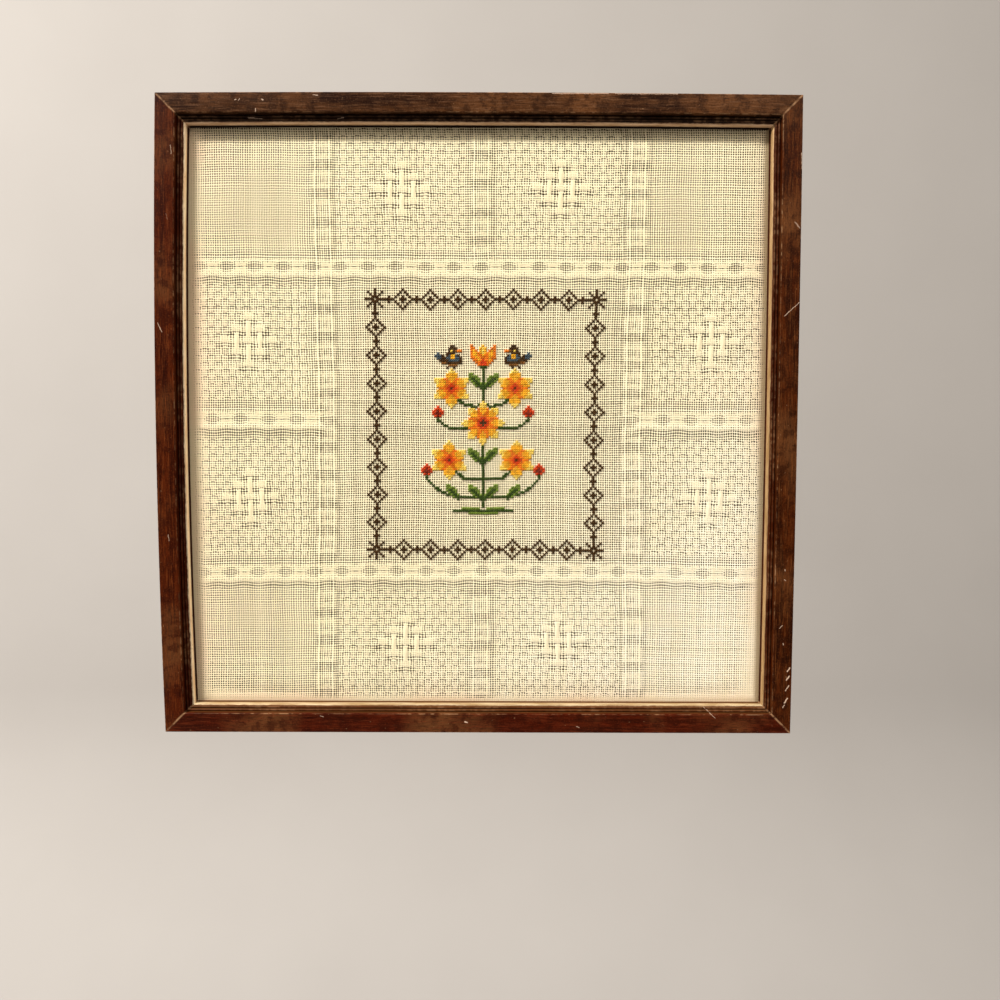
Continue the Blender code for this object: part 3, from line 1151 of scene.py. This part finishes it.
def blossom(across, rising, radius, petals):
    """A round flower by rule: wavy petals, yellow outside and red towards the middle."""
    for right in range(-radius, radius + 1):
        for up in range(-radius, radius + 1):
            away = math.hypot(right, up)
            turn = math.atan2(right, up)
            petal = math.cos(petals * turn)
            if away > radius * (0.87 + 0.16 * petal):
                continue
            limits = (0.12, 0.26, 0.47 - 0.10 * petal, 0.80 - 0.05 * petal, 9)
            letter = next(mark for limit, mark in zip(limits, "droyY") if away <= radius * limit)
            if petal < -0.72 and away > 0.3 * radius:
                letter = "o" if away < 0.75 * radius else "y"
            stitched[(across + right, rising + up)] = letter


# %% Chart the ring
LEFT, RIGHT, TOP, BOTTOM = -46, 50, 51, -57
across_rows = [row[9:] + row * 7 for row in DIAMOND_BAND]
up_rows = [row[9:] + row * 8 for row in DIAMOND_BAND]
turned_rows = ["".join(column) for column in zip(*up_rows)]
for middle in (TOP, BOTTOM):
    paint(across_rows, LEFT + 5, middle + 4)
    for side in (LEFT, RIGHT):
        paint(STAR, side - 4, middle + 4)
for side in (LEFT, RIGHT):
    paint(turned_rows, side - 4, TOP - 5)
ring_count = len(stitched)

# %% Chart the flowers
for rising in range(-38, 25):
    stitched[(STEM, rising)] = "g"
BRANCHES = (
    ((0, 6), (7, 4), (12, 9), "g"),
    ((0, -1), (14, -8), (20, 0), "g"),
    ((0, -26), (8, -28), (13, -22), "g"),
    ((0, -33), (16, -37), (25, -26), "g"),
    ((2, -39), (5, -39), (9, -39), "m"),
    ((0, -40), (6, -40), (13, -40), "g"),
    ((0, -41), (3, -41), (6, -41), "m"),
)
for line in BRANCHES:
    branch(*line)
paint(TULIP, -4, 31)
blossom(STEM, -2, 9, 8)
for side in (-1, 1):
    blossom(STEM + side * 14, 13, 8, 6)
    blossom(STEM + side * 15, -18, 8, 6)
for left, top in ((19, 5), (24, -20)):
    paint_twice(BUD, left, top)
for left, top in ((2, 19), (2, -13), (2, -29), (12, -29)):
    paint_twice(LEAF, left, top)
paint(BIRD, -20, 31)
paint(BIRD, 10, 31, flip=True)
print("stitches in the ring:", ring_count, "and in all:", len(stitched))

# %% [markdown]
# Each stitch is two short threads that arch over the cell, one over the other, with both ends sunk
# in the corner holes. Geometry Nodes make the two arches once and put them on a point in the middle
# of every charted cell. A small random turn and size keeps the rows from looking printed.


# %% The tree that sews
THREAD_SIDES = 5
ARCH_STEPS = 3
TURNS = (-0.09, 0.09)
SIZES = (0.93, 1.07)


def sewing_tree():
    tree = Bench.tree = bpy.data.node_groups.new("crossed_stitches", "GeometryNodeTree")
    sockets = (
        ("Reach", "Float", 0.5 * CELL), ("Thread radius", "Float", 0.25 * CELL),
        ("Lower rise", "Float", 0.5 * MM), ("Upper rise", "Float", 0.95 * MM),
        ("Sink", "Float", 0.12 * MM), ("Seed", "Int", 1), ("Thread", "Material", None),
    )
    tree.interface.new_socket(name="Geometry", in_out="INPUT", socket_type="NodeSocketGeometry")
    for name, kind, value in sockets:
        kind = "NodeSocket" + kind
        socket = tree.interface.new_socket(name=name, in_out="INPUT", socket_type=kind)
        if value is not None:
            socket.default_value = value
    tree.interface.new_socket(name="Geometry", in_out="OUTPUT", socket_type="NodeSocketGeometry")
    given = add("NodeGroupInput").outputs
    share = add("GeometryNodeSplineParameter").outputs["Factor"]

    def note_share(curve, name, value):
        inputs = {"Geometry": curve.outputs["Curve"], "Name": name, "Value": value}
        return add("GeometryNodeStoreNamedAttribute", inputs, data_type="FLOAT").outputs["Geometry"]

    inputs = {"Resolution": THREAD_SIDES, "Radius": given["Thread radius"]}
    ring = add("GeometryNodeCurvePrimitiveCircle", inputs)
    ring = note_share(ring, "round_share", calc("PINGPONG", share, 0.5))
    back = times(given["Reach"], -1.0)
    sunk = times(given["Sink"], -1.0)
    legs = add("GeometryNodeJoinGeometry")
    lower = (given["Reach"], back, "Lower rise")
    upper = (back, given["Reach"], "Upper rise")
    for start_x, end_x, height in (lower, upper):
        start = add("ShaderNodeCombineXYZ", {0: start_x, 1: back, 2: sunk}).outputs[0]
        middle = add("ShaderNodeCombineXYZ", {0: 0.0, 1: 0.0, 2: given[height]}).outputs[0]
        end = add("ShaderNodeCombineXYZ", {0: end_x, 1: given["Reach"], 2: sunk}).outputs[0]
        inputs = {"Resolution": ARCH_STEPS, "Start": start, "Middle": middle, "End": end}
        arch = note_share(add("GeometryNodeCurveQuadraticBezier", inputs), "leg_share", share)
        inputs = {"Curve": arch, "Profile Curve": ring, "Fill Caps": True}
        leg = add("GeometryNodeCurveToMesh", inputs)
        join(leg.outputs["Mesh"], legs.inputs["Geometry"])
    turn, size = (
        add("FunctionNodeRandomValue", {2: low, 3: high, "Seed": given["Seed"]}, data_type="FLOAT")
        for low, high in (TURNS, SIZES)
    )
    facing = add("ShaderNodeCombineXYZ", {0: math.radians(90), 1: turn.outputs[1], 2: 0.0})
    sewn = add("GeometryNodeInstanceOnPoints", {
        "Points": given["Geometry"], "Instance": legs.outputs[0],
        "Rotation": facing.outputs[0], "Scale": size.outputs[1],
    })
    real = add("GeometryNodeRealizeInstances", {0: sewn.outputs[0]})
    smooth = add("GeometryNodeSetShadeSmooth", {0: real.outputs[0]})
    inputs = {"Geometry": smooth.outputs[0], "Material": given["Thread"]}
    add("NodeGroupOutput", {0: add("GeometryNodeSetMaterial", inputs).outputs[0]})
    return tree


# %% Finish of the threads
def thread_finish(name, colour):
    """Stranded cotton: hardly any shine, a twist that runs round the thread, and uneven dye."""
    finish, shader = new_finish("thread_" + name, Roughness=0.75, Specular_IOR_Level=0.08)
    place = object_place()
    turns = times(attribute("leg_share"), 5.0)
    twist = calc("PINGPONG", calc("ADD", turns, attribute("round_share")), 0.5)
    dye = noise(place, 420.0, 2.0)
    faded = noise(place, 1300.0, 1.0)
    darker = tuple(0.6 * value for value in colour)
    lighter = tuple(min(1.0, 1.3 * value + 0.004) for value in colour)
    tone = blend(smooth_step(dye, 0.32, 0.68), darker, lighter)
    tone = blend(0.25, tone, colour)
    # Painted shade in the grooves of the twist
    tone = tint(tone, tuple(0.4 * value for value in colour), twist, 0.0, 0.3, 0.5, 0.0)
    tone = tint(tone, lighter, faded, 0.55, 0.75, 0.0, 0.3)
    join(tone, shader.inputs["Base Color"])
    relief(shader, twist, 0.5, 0.0001)
    return finish


# %% Sew the stitches, one piece for each thread
def cell_middle(cell):
    """The middle of a cell of the weave, from its four corner points."""
    i, j = cell[0] + HALF_CELLS, cell[1] + HALF_CELLS
    part = (slice(i, i + 2), slice(j, j + 2))
    out = float(y[part].min()) - 0.05 * MM
    return (float(x[part].mean()), out, float(z[part].mean()) + CENTRE.z)


sewing = sewing_tree()
sockets = [item for item in sewing.interface.items_tree if item.in_out == "INPUT"]
inputs = {socket.name: socket.identifier for socket in sockets}
for seed, (letter, (name, colour)) in enumerate(THREADS.items(), 1):
    cells = sorted(cell for cell, mark in stitched.items() if mark == letter)
    dots = bpy.data.meshes.new("cells_" + name)
    dots.from_pydata([cell_middle(cell) for cell in cells], [], [])
    carrier = keep("cells_" + name, dots)
    sewer = carrier.modifiers.new("sew", "NODES")
    sewer.node_group = sewing
    sewer[inputs["Seed"]] = seed
    sewer[inputs["Thread"]] = thread_finish(name, colour)
    evaluated = carrier.evaluated_get(bpy.context.evaluated_depsgraph_get())
    mesh = bpy.data.meshes.new_from_object(evaluated)
    mesh.name = "stitches_" + name
    bpy.data.objects.remove(carrier)
    piece = keep("stitches_" + name, mesh)
    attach(piece, "root")
    triangles = sum(len(face.vertices) - 2 for face in mesh.polygons)
    print(piece.name, len(cells), "stitches,", triangles, "triangles")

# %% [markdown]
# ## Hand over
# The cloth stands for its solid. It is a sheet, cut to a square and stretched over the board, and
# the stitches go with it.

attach(cloth, "root")
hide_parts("cloth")
